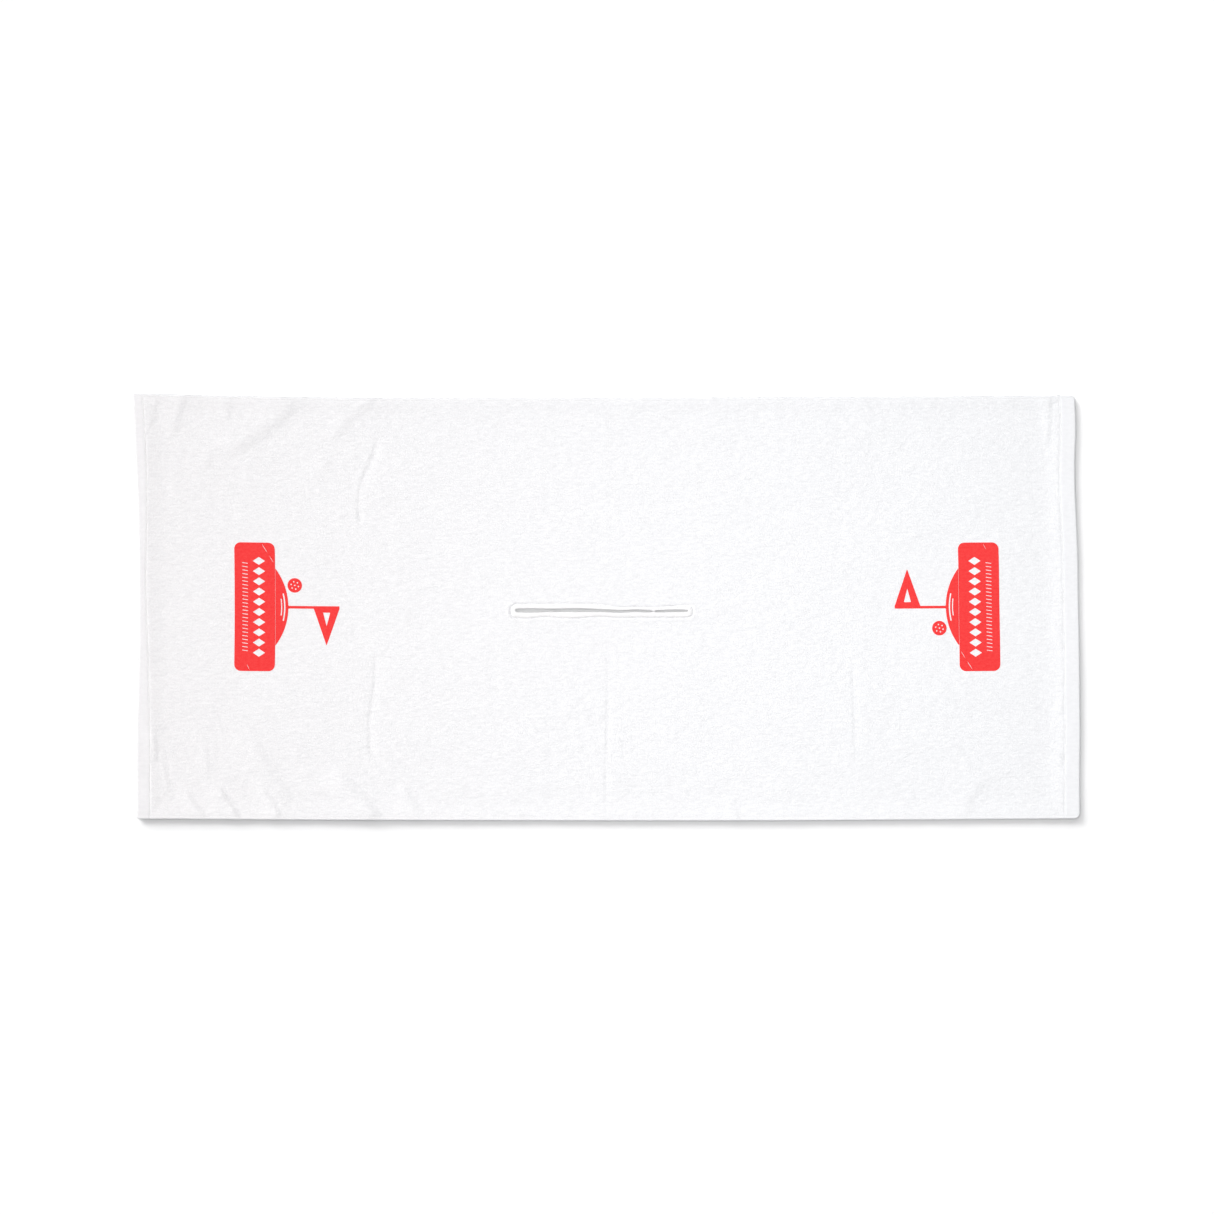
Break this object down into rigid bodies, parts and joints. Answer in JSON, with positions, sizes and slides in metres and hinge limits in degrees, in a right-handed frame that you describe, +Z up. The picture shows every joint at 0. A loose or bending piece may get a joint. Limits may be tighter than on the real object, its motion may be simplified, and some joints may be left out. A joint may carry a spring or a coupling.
{
  "type": "golf towel",
  "caption": "White terry golf towel with hemmed edges, a bound slit for a club in the middle and red printed emblems at both ends, hinged at its fold lines.",
  "frame": {"origin": "middle of the underside of the towel lying flat, printed face up", "axes": "+X along the towel's length to the right-hand end, +Y across it to the back side hem, +Z up out of the printed face"},
  "size_m": [1.1, 0.494, 0.0058],
  "materials": {
    "terry_cloth": "matte",
    "hem_cloth": "matte",
    "sewing_thread": "satin",
    "binding_tape": "matte",
    "print_ink": "matte"
  },
  "bodies": {
    "left_inner": {"cloth_left_inner": "terry_cloth", "side_hem_front_left_inner": "hem_cloth", "side_hem_back_left_inner": "hem_cloth", "side_seam_front_left_inner": "sewing_thread", "side_seam_back_left_inner": "sewing_thread", "slit_binding_left": "binding_tape", "slit_seam_left": "sewing_thread"},
    "left_end": {"cloth_left_end": "terry_cloth", "side_hem_front_left_end": "hem_cloth", "side_hem_back_left_end": "hem_cloth", "side_seam_front_left_end": "sewing_thread", "side_seam_back_left_end": "sewing_thread", "end_hem_left": "hem_cloth", "end_seam_left": "sewing_thread", "print_bar_left": "print_ink", "print_flag_left": "print_ink", "print_ball_left": "print_ink"},
    "right_inner": {"cloth_right_inner": "terry_cloth", "side_hem_front_right_inner": "hem_cloth", "side_hem_back_right_inner": "hem_cloth", "side_seam_front_right_inner": "sewing_thread", "side_seam_back_right_inner": "sewing_thread", "slit_binding_right": "binding_tape", "slit_seam_right": "sewing_thread"},
    "right_end": {"cloth_right_end": "terry_cloth", "side_hem_front_right_end": "hem_cloth", "side_hem_back_right_end": "hem_cloth", "side_seam_front_right_end": "sewing_thread", "side_seam_back_right_end": "sewing_thread", "end_hem_right": "hem_cloth", "end_seam_right": "sewing_thread", "print_bar_right": "print_ink", "print_flag_right": "print_ink", "print_ball_right": "print_ink"}
  },
  "joints": [
    {"name": "left_fold", "type": "hinge", "parent": "left_inner", "child": "left_end", "pos_m": [-0.275, 0, 0.0062], "axis": [0, 1, 0], "range_deg": [0, 178]},
    {"name": "centre_fold", "type": "hinge", "parent": "left_inner", "child": "right_inner", "pos_m": [0, 0, -0.0005], "axis": [0, 1, 0], "range_deg": [0, 178]},
    {"name": "right_fold", "type": "hinge", "parent": "right_inner", "child": "right_end", "pos_m": [0.275, 0, 0.0062], "axis": [0, -1, 0], "range_deg": [0, 178]}
  ]
}
